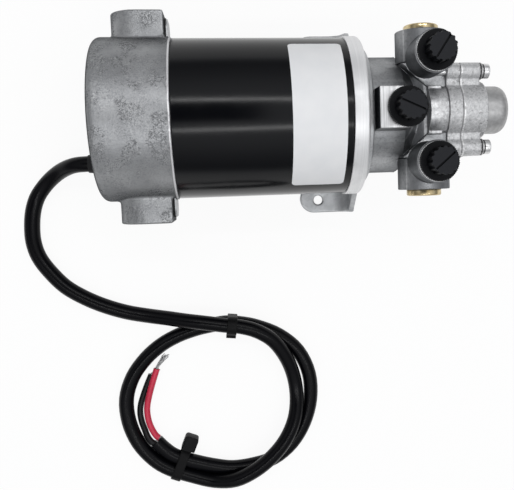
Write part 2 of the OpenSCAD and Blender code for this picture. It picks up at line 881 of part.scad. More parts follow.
// The pump castings' upright oval, in Y and Z
module oval(r) {
    for (z = [0, gear_axis_z]) translate([0, z]) circle(r);
    translate([-r, 0]) square([2 * r, gear_axis_z]);
}

sleeve_web = 4;

module oval_casting(x, len, sleeve_len) {
    extrude_x(x, len) oval(oval_r);
    at_pump_screws() rod_x(x, sleeve_len, sleeve_d / 2);
    for (level = [-1, 1]) translate([x, -sleeve_y, oval_mid_z + level * screw_rise / 2 - sleeve_web / 2])
        cube([sleeve_len, 2 * sleeve_y, sleeve_web]);
}

module bearing_plate() {
    color("silver") placed() difference() {
        oval_casting(x_head, bearing_plate_t, bearing_plate_t);
        for (z = [0, gear_axis_z]) translate([0, 0, z])
            rod_x(x_head - eps, bearing_plate_t + 2 * eps, pump_shaft_r + bush_wall + seat);
        both_sides() translate([0, passage_y, oval_mid_z])
            rod_x(x_head - eps, bearing_plate_t + 2 * eps, passage_r);
        at_pump_screws() rod_x(x_head - eps, bearing_plate_t + 2 * eps, screw_d / 2 + loose);
    }
}

seal_groove_r = chamber_r + 0.8;
seal_groove_w = 1.3;
seal_groove_t = 1;
dome_spigot_r = 9;
dome_spigot_t = 1.5;

module gear_housing() {
    color("silver") placed() difference() {
        oval_casting(x_gear, gear_housing_len, gear_housing_len - sleeve_setback);
        extrude_x(x_gear - eps, gear_width + loose + eps) {
            for (z = [0, gear_axis_z]) translate([0, z]) circle(chamber_r);
        }
        extrude_x(x_gear - eps, seal_groove_t + eps) difference() {
            oval(seal_groove_r + seal_groove_w);
            oval(seal_groove_r);
        }
        rod_x(x_gear, gear_width + 3, pump_shaft_r + running);
        translate([0, 0, gear_axis_z]) {
            rod_x(x_gear, gear_housing_len + eps, pump_shaft_r + running);
            rod_x(x_end - dome_spigot_t, dome_spigot_t + eps, dome_spigot_r + seat);
        }
        at_pump_screws() rod_x(x_gear - eps, gear_housing_len, screw_d / 2 + loose);
    }
}

module gear_seal() {
    color("black") placed() extrude_x(x_gear, seal_groove_t - seat) difference() {
        oval(seal_groove_r + seal_groove_w - seat);
        oval(seal_groove_r + seat);
    }
}

module end_dome() {
    color("darkgray") placed() translate([0, 0, gear_axis_z]) difference() {
        union() {
            revolve_x() rounded_profile(dome_d / 2, x_end, x_tip, false, dome_round);
            rod_x(x_end - dome_spigot_t, dome_spigot_t + eps, dome_spigot_r);
        }
        rod_x(x_end - dome_spigot_t - eps, dome_spigot_t + dome_len - 3, dome_spigot_r - 1.5);
    }
}

module spring_washers() {
    x = x_end - sleeve_setback;
    color("dimgray") placed() at_pump_screws() {
        ring_x(x, washer_t / 2 - eps, sleeve_d / 2 - 0.1, screw_d / 2 + loose);
        ring_x(x + washer_t / 2, washer_t / 2, screw_head_d / 2, screw_d / 2 + loose);
    }
}

module pump_screws() {
    x = x_end - sleeve_setback + washer_t;
    color("lightgray") placed() at_pump_screws() difference() {
        union() {
            rod_x(x_head - screw_bite, x - x_head + screw_bite + eps, screw_d / 2);
            rod_x(x, screw_head_h - 0.4, screw_head_d / 2);
            translate([x + screw_head_h - 0.4, 0, 0]) rotate([0, 90, 0])
                cylinder(h = 0.4, r1 = screw_head_d / 2, r2 = screw_head_d / 2 - 0.4);
        }
        translate([x + screw_head_h - 2, 0, 0]) rotate([0, 90, 0]) cylinder(h = 3, r = 1.7, $fn = 6);
    }
}

// Port plugs

module knurl_outline() {
    polygon([for (k = [0 : 2 * plug_teeth - 1])
        polar(plug_flange_d / 2 - (k % 2 == 0 ? 0 : 0.35), k * 180 / plug_teeth)]);
}

module port_plug(slot_turn) {
    shank = port_depth - 1;
    flute_r = 1;
    driver_depth = 1.2;
    color("black") difference() {
        union() {
            translate([0, 0, -shank]) cylinder(h = shank + eps, r = port_bore_d / 2 - running);
            linear_extrude(plug_flange_t) knurl_outline();
            cylinder(h = plug_flange_t + plug_hub_h, r = plug_hub_d / 2);
        }
        for (k = [0 : plug_flutes - 1]) rotate([0, 0, k * 360 / plug_flutes])
            translate([plug_hub_d / 2 + flute_r / 3, 0, plug_flange_t])
                cylinder(h = plug_hub_h + 1, r = flute_r);
        rotate([0, 0, slot_turn])
            translate([-plug_slot_len / 2, -plug_slot_w / 2, plug_flange_t + plug_hub_h - driver_depth])
            cube([plug_slot_len, plug_slot_w, driver_depth + 1]);
    }
}

left_slot_turn = 56;
right_slot_turn = 40;
middle_slot_turn = -24;

module port_plug_left() {
    placed() translate([x_cross, port_y, port_height]) port_plug(left_slot_turn);
}

module port_plug_right() {
    placed() translate([x_cross, -port_y, port_height]) port_plug(right_slot_turn);
}

module port_plug_middle() {
    placed() translate([x_middle_port, 0, port_height]) port_plug(middle_slot_turn);
}

// Cord: each point is [X from the rear face, Y, height above the floor]
cord_start = [[6, cord_y, axis_height + cord_z], [-3, cord_y, axis_height + cord_z],
    [-1 - grommet_len, cord_y, axis_height + cord_z]];
cord_route = [[-18, -20, 17], [-25, -22.2, 11.5], [-31, -25.8, 7.4], [-36, -30.4, 5], [-40, -36, 4.1],
    [-42.4, -43, 4], [-43.4, -51, 4], [-43.2, -59, 4], [-41, -67, 4], [-36, -75, 4], [-28.5, -83.5, 4],
    [-19, -90, 4], [-9, -95, 4], [2, -99, 4], [13, -101.4, 5], [24, -103, 7.8], [34, -104.4, 11.2],
    [44, -105.8, 13.2], [54, -107.6, 13.6], [62, -108.8, 13.6], [71, -111.8, 13.4], [80, -118.2, 12],
    [87, -129, 9.2], [91, -141, 6.6], [92, -153, 7.2], [90, -164, 9.6], [84.7, -174.2, 11.6],
    [77, -182.8, 12.4], [67.6, -189.8, 12.3], [56.6, -194.7, 11.2], [45, -196, 7], [33, -192.8, 5.3],
    [20.5, -187.5, 5.2], [12, -181.4, 4.6], [4.4, -171.7, 4], [0, -159.5, 4], [-0.6, -146.5, 4],
    [3.5, -134.6, 4], [10.8, -125.1, 4], [19.4, -118.1, 4], [28.8, -113.4, 4], [38.5, -110.4, 4.4],
    [46, -108.9, 5.1], [54, -107.8, 5.2], [62, -108.6, 5.2], [71.6, -111.2, 4.5], [83.7, -117, 4],
    [94, -126.5, 4], [99.7, -139.9, 4], [100, -154.5, 4], [96, -168, 4], [88.6, -179.3, 4],
    [78.3, -187, 4], [66.8, -189.9, 4], [55.2, -189.8, 4], [45.2, -187.6, 4.4], [34.5, -184, 5.2],
    [24.5, -179.8, 5.2], [19.2, -175.6, 5], [14.2, -171.3, 5]];
red_route = [[15.6, -169.6, 5], [14.3, -168.5, 5], [12.6, -165.6, 5], [11, -161.6, 4.7],
    [10.1, -157, 4.4], [10.1, -152, 4.3], [11.5, -145.7, 4.4], [13.6, -138.9, 4.7], [15.9, -132.4, 4.6]];
black_route = [[13.4, -172.2, 5], [12.1, -171.1, 5], [10.3, -168.7, 4], [8.6, -165, 2.7], [7.3, -160.8, 1.9],
    [6.6, -156, 1.8], [7, -151.4, 1.8], [8.4, -146.4, 1.8], [10.6, -140.4, 1.8], [12.9, -134.9, 1.8]];
red_end = [[15.95, -132.26, 4.6], [16.6, -130.4, 4.3], [18.8, -127.6, 2.8], [21.6, -124.5, 1.5]];
black_end = [[12.94, -134.8, 1.8], [13.9, -132.5, 1.6], [15, -130.3, 1.4]];

module on_floor() {
    translate([x_rear - x_mid, 0, 0]) children();
}

module power_cord() {
    color("black") on_floor() swept_tube(concat(cord_start, cord_route), cord_d / 2, 8);
}

module conductor_red() {
    color("crimson") on_floor() swept_tube(red_route, conductor_d / 2, 8);
}

module conductor_black() {
    color("black") on_floor() swept_tube(black_route, conductor_d / 2, 8);
}

module conductor_ends() {
    color("silver") on_floor() {
        swept_tube(red_end, 1.2, 6);
        swept_tube(black_end, 1.2, 6);
    }
}

tie_t = 0.9;
tie_w = 5.2;
small_tie_at = [58, -108.2, 9.4];
large_tie_at = [26.7, -185.4, 5.2];

// A band around two strands that run along local X, their centres some distance apart along local Z
module tie_band(apart) {
    extrude_x(-tie_w / 2, tie_w) difference() {
        stadium(cord_d / 2 + 3 * seat + tie_t, apart);
        stadium(cord_d / 2 + 3 * seat, apart);
    }
}

module stadium(r, apart) {
    for (side = [-1, 1]) translate([0, side * apart / 2]) circle(r);
    translate([-r, -apart / 2]) square([2 * r, apart]);
}

module cable_tie_small() {
    color("black") on_floor() translate(small_tie_at) rotate([0, 0, -7]) {
        tie_band(8.4);
        translate([-tie_w / 2, -cord_d / 2 - tie_t - 2.4, -2]) cube([tie_w, 2.4, 4]);
    }
}

module cable_tie_large() {
    block = [7.6, 8, 7];
    corner = 1.6;
    color("black") on_floor() translate(large_tie_at) rotate([0, 0, -23]) {
        rotate([-90, 0, 0]) tie_band(8.7);
        translate([-3.1, 8.6, -4.5]) linear_extrude(block[2]) {
            translate([corner, 0]) square([block[0] - 2 * corner, block[1]]);
            square([block[0], block[1] - corner]);
            for (x = [corner, block[0] - corner]) translate([x, block[1] - corner]) circle(corner);
        }
    }
}

rear_housing();
motor_can();
label();
front_end_cap();
mounting_bracket();
valve_body();
bearing_plate();
gear_housing();
end_dome();
pump_screws();
spring_washers();
lock_plugs();
lock_plug_seals();
check_poppet_left();
check_poppet_right();
check_spring_left();
check_spring_right();
shuttle_piston();
motor_shaft();
armature_core();
armature_windings();
commutator();
field_magnets();
rear_bearing();
front_bearing();
shaft_seal();
drive_coupling();
pump_shaft();
drive_gear();
driven_shaft();
driven_gear();
gear_bushes();
gear_seal();
carbon_brush_left();
carbon_brush_right();
brush_springs();
brush_holders();
pocket_gaskets();
pocket_covers();
through_bolts();
body_screws();
cable_grommet();
port_plug_left();
port_plug_right();
port_plug_middle();
power_cord();
conductor_red();
conductor_black();
conductor_ends();
cable_tie_small();
cable_tie_large();
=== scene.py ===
# The looks of an electric hydraulic pump for a steering cylinder, dressed over its CAD model.
# The pump is put together here as on the bench: cord, motor, bracket, valve body, gear pump, plugs.
import math
import random

import bmesh
import bpy
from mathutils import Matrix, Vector
from mathutils.bvhtree import BVHTree


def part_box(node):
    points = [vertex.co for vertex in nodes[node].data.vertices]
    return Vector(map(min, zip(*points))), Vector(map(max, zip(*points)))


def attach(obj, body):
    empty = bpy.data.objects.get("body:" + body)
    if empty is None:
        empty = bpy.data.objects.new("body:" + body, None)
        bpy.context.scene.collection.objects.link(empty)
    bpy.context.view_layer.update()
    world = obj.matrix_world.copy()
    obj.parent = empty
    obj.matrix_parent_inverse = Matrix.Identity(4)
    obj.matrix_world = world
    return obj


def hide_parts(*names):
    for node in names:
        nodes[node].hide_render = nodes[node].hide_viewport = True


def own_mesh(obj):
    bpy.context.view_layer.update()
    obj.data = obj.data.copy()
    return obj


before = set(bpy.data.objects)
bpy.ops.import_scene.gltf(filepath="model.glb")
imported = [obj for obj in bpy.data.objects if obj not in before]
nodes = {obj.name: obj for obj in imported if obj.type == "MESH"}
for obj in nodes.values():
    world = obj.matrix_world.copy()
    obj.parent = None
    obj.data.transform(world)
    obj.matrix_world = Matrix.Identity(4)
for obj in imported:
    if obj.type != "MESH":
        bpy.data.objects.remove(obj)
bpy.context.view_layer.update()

# The view
# A camera looks almost straight down from over the motor, as a catalogue photograph is taken.
# The picture is cut from a wider one, so its centre lies off the lens's axis.
picture_width = 514
picture_height = 490
lens_pixels = 693.13
axis_pixel = (329.51, 237.6)
camera_place = (-0.03399, -0.03151, 0.3862)
camera_turn = (4.8, 8.303, 2.565)
sensor_width = 36

bpy.ops.object.select_all(action="DESELECT")
bpy.ops.object.camera_add(location=camera_place)
camera = bpy.context.active_object
camera.rotation_mode = "ZYX"
camera.rotation_euler = [-math.radians(turn) for turn in camera_turn]
camera.data.sensor_width = sensor_width
camera.data.lens = sensor_width * lens_pixels / picture_width
camera.data.shift_x = (picture_width / 2 - axis_pixel[0]) / picture_width
camera.data.shift_y = (axis_pixel[1] - picture_height / 2) / picture_width
bpy.context.scene.camera = camera


# Power cord
# A round two-core cord in a satin black jacket, 0.67 m long. It leaves the rear housing through a
# grommet, falls to the bench, makes one loop and lies back on itself to its stripped end.
def pick(*objects):
    """Selects only these objects, the last one active."""
    bpy.ops.object.select_all(action="DESELECT")
    for one in objects:
        one.select_set(True)
        bpy.context.view_layer.objects.active = one


class Finish:
    """A procedural finish: one shader, and patterns read from the piece's own place in metres."""

    def __init__(self, name, colour, roughness, metallic=0.0, **sockets):
        self.material = bpy.data.materials.new(name)
        self.material.use_nodes = True
        tree = self.material.node_tree
        self.nodes = tree.nodes
        self.links = tree.links
        self.shader = self.nodes["Principled BSDF"]
        self.shader.inputs["Base Color"].default_value = (*colour, 1)
        self.shader.inputs["Roughness"].default_value = roughness
        self.shader.inputs["Metallic"].default_value = metallic
        for socket, value in sockets.items():
            self.shader.inputs[socket.replace("_", " ")].default_value = value
        self.place = self.nodes.new("ShaderNodeTexCoord").outputs["Object"]

    def noise(self, size, detail=4, stretch=(1, 1, 1), twist=0.0):
        """Noise with blobs about size metres across, longer along an axis by its stretch."""
        mapping = self.nodes.new("ShaderNodeMapping")
        mapping.inputs["Scale"].default_value = [1 / (size * s) for s in stretch]
        self.links.new(self.place, mapping.inputs["Vector"])
        noise = self.nodes.new("ShaderNodeTexNoise")
        noise.inputs["Scale"].default_value = 1
        noise.inputs["Detail"].default_value = detail
        noise.inputs["Distortion"].default_value = twist
        self.links.new(mapping.outputs["Vector"], noise.inputs["Vector"])
        return noise.outputs["Fac"]

    def ramp(self, value, *stops):
        """A colour or grey that runs between two (position, colour) stops."""
        ramp = self.nodes.new("ShaderNodeValToRGB")
        for element, (position, colour) in zip(ramp.color_ramp.elements, stops):
            element.position = position
            element.color = (*colour, 1) if isinstance(colour, tuple) else (colour, colour, colour, 1)
        self.links.new(value, ramp.inputs["Fac"])
        return ramp.outputs["Color"]

    def rise(self, value, start, end, top=1.0):
        """A mask that is 0 below the start and the top past the end."""
        return self.ramp(value, (start, 0.0), (end, top))

    def mix(self, low, high, share):
        """The first colour where share is 0, the second where it is 1."""
        mix = self.nodes.new("ShaderNodeMix")
        mix.data_type = "RGBA"
        for end, colour in (("A", low), ("B", high)):
            socket = [s for s in mix.inputs if s.name == end and s.type == "RGBA"][0]
            if isinstance(colour, tuple):
                socket.default_value = (*colour, 1)
            else:
                self.links.new(colour, socket)
        self.links.new(share, mix.inputs["Factor"])
        return [s for s in mix.outputs if s.type == "RGBA"][0]

    def calculate(self, operation, first, second=0.0):
        """One Math node on an output and a second output or number."""
        step = self.nodes.new("ShaderNodeMath")
        step.operation = operation
        self.links.new(first, step.inputs[0])
        if isinstance(second, float):
            step.inputs[1].default_value = second
        else:
            self.links.new(second, step.inputs[1])
        return step.outputs["Value"]

    def along(self, axis):
        """The place along one axis, in metres."""
        split = self.nodes.new("ShaderNodeSeparateXYZ")
        self.links.new(self.place, split.inputs["Vector"])
        return split.outputs[axis]

    def share_along(self, axis, start, length):
        """How far a place lies past the start along an axis, as a share of a length."""
        past = self.calculate("SUBTRACT", self.along(axis), start)
        return self.calculate("DIVIDE", past, length)

    def beyond(self, axis, limit):
        """1 past the limit along an axis, or else 0."""
        return self.calculate("GREATER_THAN", self.along(axis), limit)

    def within(self, axis, low, high):
        """1 between two places along an axis, or else 0."""
        return self.calculate("SUBTRACT", self.beyond(axis, low), self.beyond(axis, high))

    def both(self, first, second):
        """The product of two masks."""
        return self.calculate("MULTIPLY", first, second)

    def either(self, first, second):
        """The larger of two masks."""
        return self.calculate("MAXIMUM", first, second)

    def colour(self, output):
        """Base colour from an output."""
        self.links.new(output, self.shader.inputs["Base Color"])

    def roughness(self, value, low, high):
        """Roughness from low to high as the value goes from 0 to 1."""
        reach = self.nodes.new("ShaderNodeMapRange")
        reach.inputs["To Min"].default_value = low
        reach.inputs["To Max"].default_value = high
        self.links.new(value, reach.inputs["Value"])
        self.links.new(reach.outputs["Result"], self.shader.inputs["Roughness"])

    def bump(self, height, depth):
        """Relief of that depth in metres, on top of any relief from before."""
        bump = self.nodes.new("ShaderNodeBump")
        bump.inputs["Strength"].default_value = 1
        bump.inputs["Distance"].default_value = depth
        self.links.new(height, bump.inputs["Height"])
        normal = self.shader.inputs["Normal"]
        if normal.is_linked:
            self.links.new(normal.links[0].from_socket, bump.inputs["Normal"])
        self.links.new(bump.outputs["Normal"], normal)

    def on(self, *pieces):
        """Puts the finish on pieces or CAD nodes."""
        for piece in pieces:
            target = nodes[piece] if isinstance(piece, str) else piece
            target.data.materials.clear()
            target.data.materials.append(self.material)


cord_radius = 0.004
route_steps = 4
rear_face_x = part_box("rear_housing")[0].x
cord_route = [
    (0.006, -0.0195, 0.020), (-0.003, -0.0195, 0.020), (-0.011, -0.0195, 0.020),
    (-0.018, -0.020, 0.017), (-0.025, -0.0222, 0.0115), (-0.031, -0.0258, 0.0074),
    (-0.036, -0.0304, 0.005), (-0.040, -0.036, 0.0041), (-0.0424, -0.043, 0.004),
    (-0.0434, -0.051, 0.004), (-0.0432, -0.059, 0.004), (-0.041, -0.067, 0.004),
    (-0.036, -0.075, 0.004), (-0.0285, -0.0835, 0.004), (-0.019, -0.090, 0.004),
    (-0.009, -0.095, 0.004), (0.002, -0.099, 0.004), (0.013, -0.1014, 0.005),
    (0.024, -0.103, 0.0078), (0.034, -0.1044, 0.0112), (0.044, -0.1058, 0.0132),
    (0.054, -0.1076, 0.0136), (0.062, -0.1088, 0.0136), (0.071, -0.1118, 0.0134),
    (0.080, -0.1182, 0.012), (0.087, -0.129, 0.0092), (0.091, -0.141, 0.0066),
    (0.092, -0.153, 0.0072), (0.090, -0.164, 0.0096), (0.0847, -0.1742, 0.0116),
    (0.077, -0.1828, 0.0124), (0.0676, -0.1898, 0.0123), (0.0566, -0.1947, 0.0112),
    (0.045, -0.196, 0.007), (0.033, -0.1928, 0.0053), (0.0205, -0.1875, 0.0052),
    (0.012, -0.1814, 0.0046), (0.0044, -0.1717, 0.004), (0.000, -0.1595, 0.004),
    (-0.0006, -0.1465, 0.004), (0.0035, -0.1346, 0.004), (0.0108, -0.1251, 0.004),
    (0.0194, -0.1181, 0.004), (0.0288, -0.1134, 0.004), (0.0385, -0.1104, 0.0044),
    (0.046, -0.1089, 0.0051), (0.054, -0.1078, 0.0052), (0.062, -0.1086, 0.0052),
    (0.0716, -0.1112, 0.0045), (0.0837, -0.117, 0.004), (0.094, -0.1265, 0.004),
    (0.0997, -0.1399, 0.004), (0.100, -0.1545, 0.004), (0.096, -0.168, 0.004),
    (0.0886, -0.1793, 0.004), (0.0783, -0.187, 0.004), (0.0668, -0.1899, 0.004),
    (0.0552, -0.1906, 0.004), (0.0451, -0.1885, 0.0044), (0.0343, -0.1848, 0.0052),
    (0.0241, -0.1807, 0.0052), (0.0185, -0.1764, 0.005), (0.0141, -0.1715, 0.005),
]


def smooth_line(route):
    """A smooth curve through a route's points, whose X is counted from the rear housing's face."""
    points = [Vector((rear_face_x + x, y, z)) for x, y, z in route]
    line = []
    ends = [points[0] * 2 - points[1], *points, points[-1] * 2 - points[-2]]
    for a, b, c, d in zip(ends, ends[1:], ends[2:], ends[3:]):
        for step in range(route_steps):
            t = step / route_steps
            line.append(0.5 * (2 * b + (c - a) * t + (2 * a - 5 * b + 4 * c - d) * t ** 2
                               + (3 * b - a - 3 * c + d) * t ** 3))
    return line + [points[-1]]


def flexible(name, points, radius, sides):
    """A round flexible length along the points, as a curve of one spline."""
    data = bpy.data.curves.new(name, "CURVE")
    data.dimensions = "3D"
    data.bevel_depth = radius
    data.bevel_resolution = sides
    data.use_fill_caps = True
    spline = data.splines.new("POLY")
    spline.points.add(len(points) - 1)
    for point, place in zip(spline.points, points):
        point.co = (*place, 1)
    spline.use_smooth = True
    piece = bpy.data.objects.new(name, data)
    bpy.context.collection.objects.link(piece)
    return piece


cord = flexible("cord_jacket", smooth_line(cord_route), cord_radius, sides=6)
jacket = Finish("satin jacket", (0.002, 0.002, 0.003), 0.24, Specular_IOR_Level=0.12)
jacket.roughness(jacket.noise(0.006), low=0.19, high=0.29)
jacket.bump(jacket.noise(0.0011, detail=3), depth=0.000004)
jacket.on(cord)
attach(cord, "pump")
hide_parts("power_cord")

# Conductors
# The red and the black core come out of the cut jacket, and each ends in bare tinned strands
# that have been twisted once and have spread a little.
core_radius = 0.0017
red_route = [
    (0.0156, -0.1696, 0.005), (0.0143, -0.1685, 0.005), (0.0126, -0.1656, 0.005),
    (0.011, -0.1616, 0.0047), (0.0101, -0.157, 0.0044), (0.0101, -0.152, 0.0043),
    (0.0115, -0.1457, 0.0044), (0.0136, -0.1389, 0.0047), (0.0163, -0.1311, 0.0046),
]
black_route = [
    (0.0130, -0.1726, 0.005), (0.0113, -0.1714, 0.005), (0.0094, -0.1688, 0.004),
    (0.0079, -0.165, 0.0027), (0.0065, -0.1608, 0.0019), (0.0059, -0.156, 0.0018),
    (0.0064, -0.1514, 0.0018), (0.0080, -0.1464, 0.0018), (0.0104, -0.1404, 0.0018),
    (0.0129, -0.1349, 0.0018),
]
red_end = [
    (0.01635, -0.13096, 0.0046), (0.0172, -0.1293, 0.0042), (0.0192, -0.1270, 0.0028),
    (0.0217, -0.1243, 0.0015),
]
black_end = [
    (0.01294, -0.1348, 0.0018), (0.0148, -0.1335, 0.0014), (0.0170, -0.1324, 0.0012),
]

red_core = flexible("core_red", smooth_line(red_route), core_radius, sides=4)
red_sleeve = Finish("red wire sleeve", (0.60, 0.020, 0.060), 0.42)
red_sleeve.colour(red_sleeve.ramp(red_sleeve.noise(0.004), (0.3, (0.54, 0.016, 0.052)),
                                  (0.75, (0.67, 0.026, 0.072))))
red_sleeve.bump(red_sleeve.noise(0.0012, detail=3), depth=0.00002)
red_sleeve.on(red_core)
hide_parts("conductor_red")

black_core = flexible("core_black", smooth_line(black_route), core_radius, sides=4)
black_sleeve = Finish("black wire sleeve", (0.005, 0.005, 0.006), 0.36, Specular_IOR_Level=0.25)
black_sleeve.roughness(black_sleeve.noise(0.003), low=0.32, high=0.48)
black_sleeve.on(black_core)
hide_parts("conductor_black")

strand_radius = 0.00022
bundle_radius = 0.0008
turn_to_next = 2.4
turn_to_tip = 1.2
tip_taper = 0.35
side_lean = 0.3
short_tips = (0, 0, 1, 2)


def strands(end, count, spread, chance):
    """Bare wire strands along an end, twisted round each other and spread towards the tip."""
    line = smooth_line(end)
    steps = len(line) - 1
    wires = []
    for wire in range(count):
        reach = bundle_radius * math.sqrt((wire + 0.5) / count)
        last = steps - chance.choice(short_tips)
        apart = spread * chance.random()
        points = []
        for step, place in enumerate(line[:last + 1]):
            share = step / steps
            twist = wire * turn_to_next + turn_to_tip * share
            out = reach * (1 - tip_taper * share) + apart * share ** 2
            aside = out * math.cos(twist)
            lift = max(strand_radius, place.z + out * math.sin(twist)) - place.z
            points.append(place + Vector((aside, -side_lean * aside, lift)))
        wires.append(flexible("strand", points, strand_radius, sides=1))
    return wires


chance = random.Random(4)
red_wires = strands(red_end, 20, 0.0018, chance)
black_wires = strands(black_end, 12, 0.0004, chance)
pick(*red_wires, *black_wires)
bpy.ops.object.convert(target="MESH")
bpy.ops.object.join()
bare_ends = bpy.context.active_object
bare_ends.name = "bare_strands"
tinned = Finish("tinned copper strands", (0.50, 0.50, 0.51), 0.36, metallic=0.9)
tinned.colour(tinned.ramp(tinned.noise(0.0009), (0.35, 0.26), (0.7, 0.62)))
tinned.on(bare_ends)
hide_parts("conductor_ends")
for piece in (red_core, black_core, bare_ends):
    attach(piece, "pump")


# Cable ties
# Two moulded nylon ties. The small one holds the loop's crossing, the large one carries a blank
# rounded flag and holds the jacket's end against the loop.
merge_distance = 0.000002
flat_angle = math.radians(0.4)
sharp_angle = math.radians(32)
smooth_angle = math.radians(35)
edge_segments = 3
most_off_surface = 0.45
most_outside = 0.3


def cad_copy(node, name, flat=0):
    """A copy of a CAD node, alone selected, with its loose triangles merged into one skin and
    with faces joined where they meet at less than the flat angle."""
    mesh = nodes[node].data.copy()
    piece = bpy.data.objects.new(name, mesh)
    bpy.context.collection.objects.link(piece)
    pick(piece)
    if mesh.has_custom_normals:
        bpy.ops.mesh.customdata_custom_splitnormals_clear()
    bpy.ops.object.mode_set(mode="EDIT")
    bpy.ops.mesh.select_all(action="SELECT")
    bpy.ops.mesh.remove_doubles(threshold=merge_distance)
    if flat:
        bpy.ops.mesh.dissolve_limited(angle_limit=flat)
    bpy.ops.object.mode_set(mode="OBJECT")
    return piece


def modify(piece, name, kind, **settings):
    """Gives the selected piece a modifier with these settings and applies it."""
    modifier = piece.modifiers.new(name, kind)
    for setting, value in settings.items():
        setattr(modifier, setting, value)
    bpy.ops.object.modifier_apply(modifier=modifier.name)


def round_edges(piece, edge, leave):
    """Bevels the sharp edges. A point that this throws off the CAD surface is put back on it."""
    form = bmesh.new()
    form.from_mesh(piece.data)
    walls = BVHTree.FromBMesh(form)
    weight = form.edges.layers.float.new("bevel_weight_edge")
    for side in form.edges:
        middle = (side.verts[0].co + side.verts[1].co) / 2
        sharp = side.is_manifold and side.calc_face_angle() > sharp_angle
        if sharp and not (leave and leave(middle)):
            side[weight] = 1
    form.to_mesh(piece.data)
    form.free()
    modify(piece, "rounded edges", "BEVEL", width=edge, segments=edge_segments,
           limit_method="WEIGHT", use_clamp_overlap=False)
    for point in piece.data.vertices:
        near, outwards, _, gap = walls.find_nearest(point.co)
        outside = (point.co - near).dot(outwards)
        if gap > most_off_surface * edge or outside > most_outside * edge:
            point.co = near


def dressed(node, name, edge, leave=None):
    """A merged copy of a CAD node with its sharp edges rounded, but for those that leave() names."""
    piece = cad_copy(node, name, flat_angle)
    if edge:
        round_edges(piece, edge, leave)
    bpy.ops.object.shade_smooth_by_angle(angle=smooth_angle)
    return piece


def stands_for(piece, node):
    """The piece rides on the pump in place of a CAD node."""
    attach(piece, "pump")
    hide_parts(node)


tie_small = dressed("cable_tie_small", "tie_small", edge=0.0003)
tie_large = dressed("cable_tie_large", "tie_large", edge=0.0004)
nylon = Finish("black nylon", (0.004, 0.004, 0.0045), 0.48, Specular_IOR_Level=0.12)
nylon.roughness(nylon.noise(0.002), low=0.40, high=0.58)
nylon.bump(nylon.noise(0.0009, detail=3), depth=0.00002)
nylon.on(tie_small, tie_large)
stands_for(tie_small, "cable_tie_small")
stands_for(tie_large, "cable_tie_large")

# Cable grommet
# A tapered sleeve of black rubber that is snapped into the hole in the rear housing's face.
# It seals the housing and keeps the cord from kinking where it comes out.
grommet = dressed("cable_grommet", "grommet_sleeve", edge=0.0003)
rubber = Finish("black rubber", (0.007, 0.007, 0.008), 0.55, Specular_IOR_Level=0.3)
rubber.roughness(rubber.noise(0.002), low=0.48, high=0.66)
rubber.bump(rubber.noise(0.0008, detail=3), depth=0.00003)
rubber.on(grommet)
stands_for(grommet, "cable_grommet")


# Rear housing
# A pressure-cast aluminium bell with a brush pocket on each side. Its skin is mottled, creased
# and flecked. Its closed back and edge are painted dark as shade, and only the rim that meets
# the can is turned bright.
def cast(node, name, grain, rounds):
    """A copy of a CAD node as it comes out of the mould or press: its edges all run soft."""
    piece = cad_copy(node, name)
    modify(piece, "grain", "REMESH", mode="VOXEL", voxel_size=grain)
    modify(piece, "soft edges", "SMOOTH", factor=0.5, iterations=rounds)
    bpy.ops.object.shade_smooth()
    return piece


bell = cast("rear_housing", "rear_bell", grain=0.0007, rounds=2)
bell_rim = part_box("motor_can")[0].x
rim_width = 0.0009
back_shade_width = 0.0040
cloud_dark = (0.30, 0.307, 0.316)
cloud_light = (0.45, 0.457, 0.465)
back_shade_dark = (0.06, 0.062, 0.066)
back_shade_light = (0.10, 0.103, 0.108)
flaw_grey = (0.16, 0.165, 0.17)
fleck_bright = (0.66, 0.665, 0.67)
rim_bright = (0.84, 0.84, 0.85)

bell_skin = Finish("cast bell aluminium", (0.32, 0.33, 0.34), 0.45, metallic=1.0,
                   Specular_Tint=(0.04, 0.042, 0.045, 1))
bell_cloud = bell_skin.ramp(bell_skin.noise(0.016, detail=5), (0.30, cloud_dark),
                            (0.70, cloud_light))
bell_grain = bell_skin.rise(bell_skin.noise(0.0007, detail=5, twist=1.0), 0.44, 0.66, top=0.52)
bell_worn = bell_skin.ramp(bell_skin.noise(0.011), (0.40, 0.35), (0.60, 1.0))
bell_flow = bell_skin.calculate("SUBTRACT", bell_skin.noise(0.0026, twist=2.2), 0.5)
bell_creases = bell_skin.ramp(bell_skin.calculate("ABSOLUTE", bell_flow), (0.0, 1.0), (0.05, 0.0))
bell_patches = bell_skin.rise(bell_skin.noise(0.009, detail=3), 0.47, 0.56)
bell_flecks = bell_skin.rise(bell_skin.noise(0.0011, twist=1.5), 0.56, 0.70, top=0.55)
bell_flaws = bell_skin.either(bell_skin.both(bell_worn, bell_grain),
                              bell_skin.both(bell_patches, bell_creases))
bell_side = bell_skin.mix(bell_cloud, flaw_grey, bell_flaws)
bell_side = bell_skin.mix(bell_side, fleck_bright, bell_skin.both(bell_patches, bell_flecks))
# Painted shade: the closed back and about the first millimetre of the side next to it are near black.
bell_back_shade = bell_skin.ramp(bell_skin.noise(0.003, detail=6), (0.35, back_shade_dark), (0.65, back_shade_light))
past_back_shade = bell_skin.rise(bell_skin.share_along("X", rear_face_x, back_shade_width), 0.06, 0.30)
bell_colour = bell_skin.mix(bell_back_shade, bell_side, past_back_shade)
bell_skin.colour(bell_skin.mix(bell_colour, rim_bright,
                               bell_skin.beyond("X", bell_rim - rim_width)))
bell_skin.roughness(bell_skin.noise(0.002, detail=6), low=0.36, high=0.56)
bell_skin.bump(bell_skin.noise(0.0012, detail=7), depth=0.00010)
bell_skin.bump(bell_flaws, depth=-0.00008)
bell_skin.on(bell)
stands_for(bell, "rear_housing")

